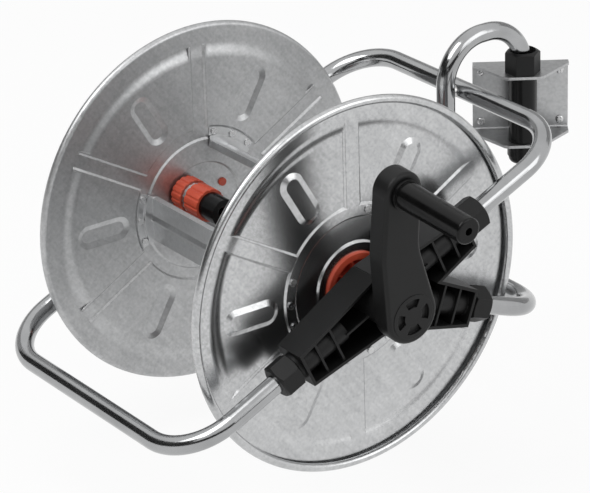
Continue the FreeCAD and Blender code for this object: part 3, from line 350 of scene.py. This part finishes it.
def orange_plastic():
    """Satin orange-red moulding with slight flow marks."""
    graph = material_graph("orange_plastic")
    flow = graph.noise(scale=45, detail=4, place=graph.place(stretch=(1, 1, 0.4)))
    grain = graph.noise(scale=900, detail=2)
    soft = graph.rounded(radius=0.0006)
    deep = (0.53, 0.07, 0.035, 1)
    bright = (0.62, 0.095, 0.045, 1)
    graph.surface(Base_Color=graph.mottled(flow, deep, bright),
                  Roughness=graph.span(flow, low=0.34, high=0.44),
                  Specular_IOR_Level=0.5,
                  Normal=graph.relief(grain, distance=0.00008, strength=0.2, normal=soft))
    return graph.owner


def bright_trim():
    """Plated trim ring."""
    graph = material_graph("bright_trim")
    haze = graph.noise(scale=90)
    graph.surface(Base_Color=graph.mottled(haze, grey(0.62), grey(0.74)),
                  Metallic=1.0,
                  Roughness=graph.span(haze, low=0.14, high=0.24),
                  Normal=graph.rounded(radius=0.0006))
    return graph.owner


def bearing_plastic():
    """Natural bearing plastic, a little uneven in tone."""
    graph = material_graph("bearing_plastic")
    clouds = graph.noise(scale=60)
    dull = (0.66, 0.65, 0.60, 1)
    pale = (0.76, 0.75, 0.71, 1)
    graph.surface(Base_Color=graph.mottled(clouds, dull, pale),
                  Roughness=graph.span(clouds, low=0.4, high=0.52),
                  Normal=graph.rounded(radius=0.0005))
    return graph.owner


def seal_rubber():
    """Matt black rubber."""
    graph = material_graph("seal_rubber")
    dust = graph.noise(scale=300, detail=4)
    graph.surface(Base_Color=graph.mottled(dust, grey(0.012), grey(0.03)),
                  Roughness=graph.span(dust, low=0.6, high=0.8),
                  Normal=graph.relief(dust, distance=0.0001, strength=0.3))
    return graph.owner


def finishes():
    """Every finish by name."""
    return {
        "sheet": galvanised("galvanised_sheet", dark=0.5, light=0.6, crystal=240, rough=0.3),
        "front_sheet": galvanised("galvanised_front", dark=0.45, light=0.61, crystal=240, rough=0.25,
                                  outward=1),
        "rear_sheet": galvanised("galvanised_rear", dark=0.4, light=0.56, crystal=240, rough=0.42,
                                 outward=-1),
        "plate": galvanised("galvanised_plate", dark=0.4, light=0.52, crystal=300, rough=0.36),
        "chrome": chrome(),
        "weld": weld_metal(),
        "zinc": zinc_steel(),
        "grained": black_plastic("black_grained", level=0.009, rough=0.4, grain_depth=0.0001, edge=0.0009),
        "smooth": black_plastic("black_smooth", level=0.003, rough=0.22, grain_depth=0.00003, edge=0.0008),
        "orange": orange_plastic(),
        "trim": bright_trim(),
        "bearing": bearing_plastic(),
        "rubber": seal_rubber(),
    }


def dress_nodes(looks):
    """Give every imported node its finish."""
    for row in frame["record"]["subparts"]:
        name = row["node"]
        finish = NODE_FINISH.get(name, SLOT_FINISH[row["material_slot"]])
        mesh = frame["nodes"][name].data
        mesh.materials.clear()
        mesh.materials.append(looks[finish])


def mesh_object(name, shape):
    """A scene object from a bmesh."""
    mesh = bpy.data.meshes.new(name)
    shape.to_mesh(mesh)
    shape.free()
    made = bpy.data.objects.new(name, mesh)
    bpy.context.scene.collection.objects.link(made)
    return made


def lathe(profile):
    """A closed surface of revolution about Z from (radius, height) points that start and end at radius 0."""
    shape = bmesh.new()
    points = [shape.verts.new((radius, 0, height)) for radius, height in profile]
    edges = [shape.edges.new(pair) for pair in zip(points, points[1:])]
    bmesh.ops.spin(shape, geom=points + edges, axis=(0, 0, 1), cent=(0, 0, 0),
                   angle=2 * math.pi, steps=ROUND_STEPS, use_merge=True)
    bmesh.ops.remove_doubles(shape, verts=shape.verts, dist=MERGE_DISTANCE)
    bmesh.ops.recalc_face_normals(shape, faces=shape.faces)
    return shape


def screw_blank():
    """Pan-head screw without its slot, head upwards on Z and the plate's face at 0."""
    side = SCREW_HEAD_SIDE * SCREW_HEAD_HEIGHT
    rise = SCREW_HEAD_HEIGHT - side
    angles = [math.pi / 2 * step / SCREW_DOME_STEPS for step in range(SCREW_DOME_STEPS)]
    dome = [(SCREW_HEAD_RADIUS * math.cos(angle), side + rise * math.sin(angle)) for angle in angles]
    profile = [(0, -SCREW_SHANK_LENGTH), (SCREW_SHANK_RADIUS, -SCREW_SHANK_LENGTH),
               (SCREW_SHANK_RADIUS, 0), (SCREW_HEAD_RADIUS, 0), *dome, (0, SCREW_HEAD_HEIGHT)]
    return mesh_object("screw_blank", lathe(profile))


def slot_cutter():
    """Block that cuts a screw's slot, longer than the head is wide and half above the head."""
    shape = bmesh.new()
    bmesh.ops.create_cube(shape, size=1.0)
    bmesh.ops.scale(shape, vec=(4 * SCREW_HEAD_RADIUS, SCREW_SLOT_WIDTH, 2 * SCREW_SLOT_DEPTH),
                    verts=shape.verts)
    bmesh.ops.translate(shape, vec=(0, 0, SCREW_HEAD_HEIGHT), verts=shape.verts)
    return mesh_object("screw_slot", shape)


def screw_mesh():
    """Mesh of a slotted screw."""
    blank = screw_blank()
    cutter = slot_cutter()
    cut = blank.modifiers.new("slot", "BOOLEAN")
    cut.object = cutter
    cut.operation = "DIFFERENCE"
    result = bpy.data.meshes.new_from_object(blank.evaluated_get(bpy.context.evaluated_depsgraph_get()))
    for spare in (blank, cutter):
        bpy.data.objects.remove(spare)
    return result


def wall_screws(looks):
    """A screw in each hole of the wall plate."""
    pattern = next(mount for mount in frame["record"]["mounts"] if mount["name"] == "wall_screws")["dims"]
    half_x, half_z = (pattern[f"spacing_{axis}_mm"] * MM / 2 for axis in "xy")
    mesh = screw_mesh()
    mesh.materials.clear()
    mesh.materials.append(looks["zinc"])
    out_of_wall = Matrix.Rotation(math.pi / 2, 4, "X")
    places = [(x, z) for z in (half_z, -half_z) for x in (-half_x, half_x)]
    for number, ((x, z), angle) in enumerate(zip(places, SCREW_SLOT_ANGLES), start=1):
        screw = bpy.data.objects.new(f"wall_screw_{number}", mesh)
        bpy.context.scene.collection.objects.link(screw)
        slot_turn = Matrix.Rotation(math.radians(angle), 4, "Z")
        screw.matrix_world = Matrix.Translation((x, -PLATE_SHEET, z)) @ out_of_wall @ slot_turn
        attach(screw, "bracket")


def camera():
    """The photograph's camera."""
    level = Vector((1, 0, 0))
    down = Vector((0, -math.sin(CAMERA_PITCH), -math.cos(CAMERA_PITCH)))
    right = level * math.cos(CAMERA_ROLL) + down * math.sin(CAMERA_ROLL)
    up = level * math.sin(CAMERA_ROLL) - down * math.cos(CAMERA_ROLL)
    turn = Matrix((right, up, right.cross(up))).transposed().to_4x4()
    data = bpy.data.cameras.new("camera")
    data.lens = CAMERA_LENS
    data.sensor_width = CAMERA_SENSOR
    made = bpy.data.objects.new("camera", data)
    made.matrix_world = Matrix.Translation(reel_middle() + CAMERA_OFFSET) @ turn
    bpy.context.scene.collection.objects.link(made)
    bpy.context.scene.camera = made


def seen_rays(graph):
    """1 for rays that show the background: camera, glossy and transmission rays."""
    path = graph.node("LightPath").outputs
    seen = path["Is Camera Ray"]
    for kind in ("Is Glossy Ray", "Is Transmission Ray"):
        seen = graph.maths("MAXIMUM", seen, path[kind])
    return seen


def floor_paint():
    """White paint that glows where it is seen, and keeps some of the object's shadow."""
    graph = material_graph("floor")
    graph.nodes.remove(graph.nodes["Principled BSDF"])
    paint = graph.node("BsdfDiffuse", {"Color": grey(FLOOR_PAINT)}).outputs["BSDF"]
    glow = graph.node("Emission", {"Color": grey(1.0)}).outputs["Emission"]
    share = graph.maths("MULTIPLY", seen_rays(graph), FLOOR_GLOW)
    mixed = graph.node("MixShader", {"Fac": share, 1: paint, 2: glow}).outputs["Shader"]
    graph.put(graph.nodes["Material Output"].inputs["Surface"], mixed)
    return graph.owner


def floor():
    """Flat floor under the object."""
    shape = bmesh.new()
    bmesh.ops.create_grid(shape, x_segments=1, y_segments=1, size=FLOOR_SIZE / 2)
    made = mesh_object("floor", shape)
    made.location.z = cad_box[0].z - FLOOR_GAP
    made.data.materials.append(floor_paint())


def curtain(name, tone, height, arc):
    """A studio curtain round the object, seen only in the polished surfaces."""
    graph = material_graph(name)
    graph.surface(Base_Color=grey(tone), Roughness=1.0)
    start, end = (math.radians(angle) for angle in arc)
    foot = Vector((CURTAIN_RADIUS * math.cos(start), CURTAIN_RADIUS * math.sin(start), CURTAIN_LOW))
    head = Vector((foot.x, foot.y, height))
    shape = bmesh.new()
    ends = [shape.verts.new(point) for point in (foot, head)]
    edge = shape.edges.new(ends)
    bmesh.ops.spin(shape, geom=[*ends, edge], axis=(0, 0, 1), cent=(0, 0, 0), angle=end - start,
                   steps=ROUND_STEPS)
    made = mesh_object(name, shape)
    made.location = reel_middle()
    made.data.materials.append(graph.owner)
    made.visible_camera = False
    made.visible_diffuse = False
    made.visible_shadow = False


def world():
    """White surroundings, dimmer as a lamp than as a background."""
    graph = Graph(bpy.data.worlds.new("studio"))
    strength = graph.span(seen_rays(graph), low=WORLD_LIGHT, high=WORLD_SEEN, start=0.0, end=1.0)
    background = graph.nodes["Background"].inputs
    graph.put(background["Color"], grey(1.0))
    graph.put(background["Strength"], strength)
    bpy.context.scene.world = graph.owner


def softbox(name, offset, size, power):
    """A square area lamp aimed at the reel's middle."""
    data = bpy.data.lights.new(name, "AREA")
    data.shape = "SQUARE"
    data.size = size
    data.energy = power
    made = bpy.data.objects.new(name, data)
    made.location = reel_middle() + offset
    made.rotation_euler = (-offset).to_track_quat("-Z", "Y").to_euler()
    bpy.context.scene.collection.objects.link(made)


def studio():
    """Floor, curtains, surroundings and lamps."""
    floor()
    for name, cloth in CURTAINS.items():
        curtain(name, **cloth)
    world()
    for name, lamp in SOFTBOXES.items():
        softbox(name, **lamp)
    bpy.context.scene.view_settings.view_transform = "Standard"


looks = finishes()
dress_nodes(looks)
wall_screws(looks)
camera()
studio()
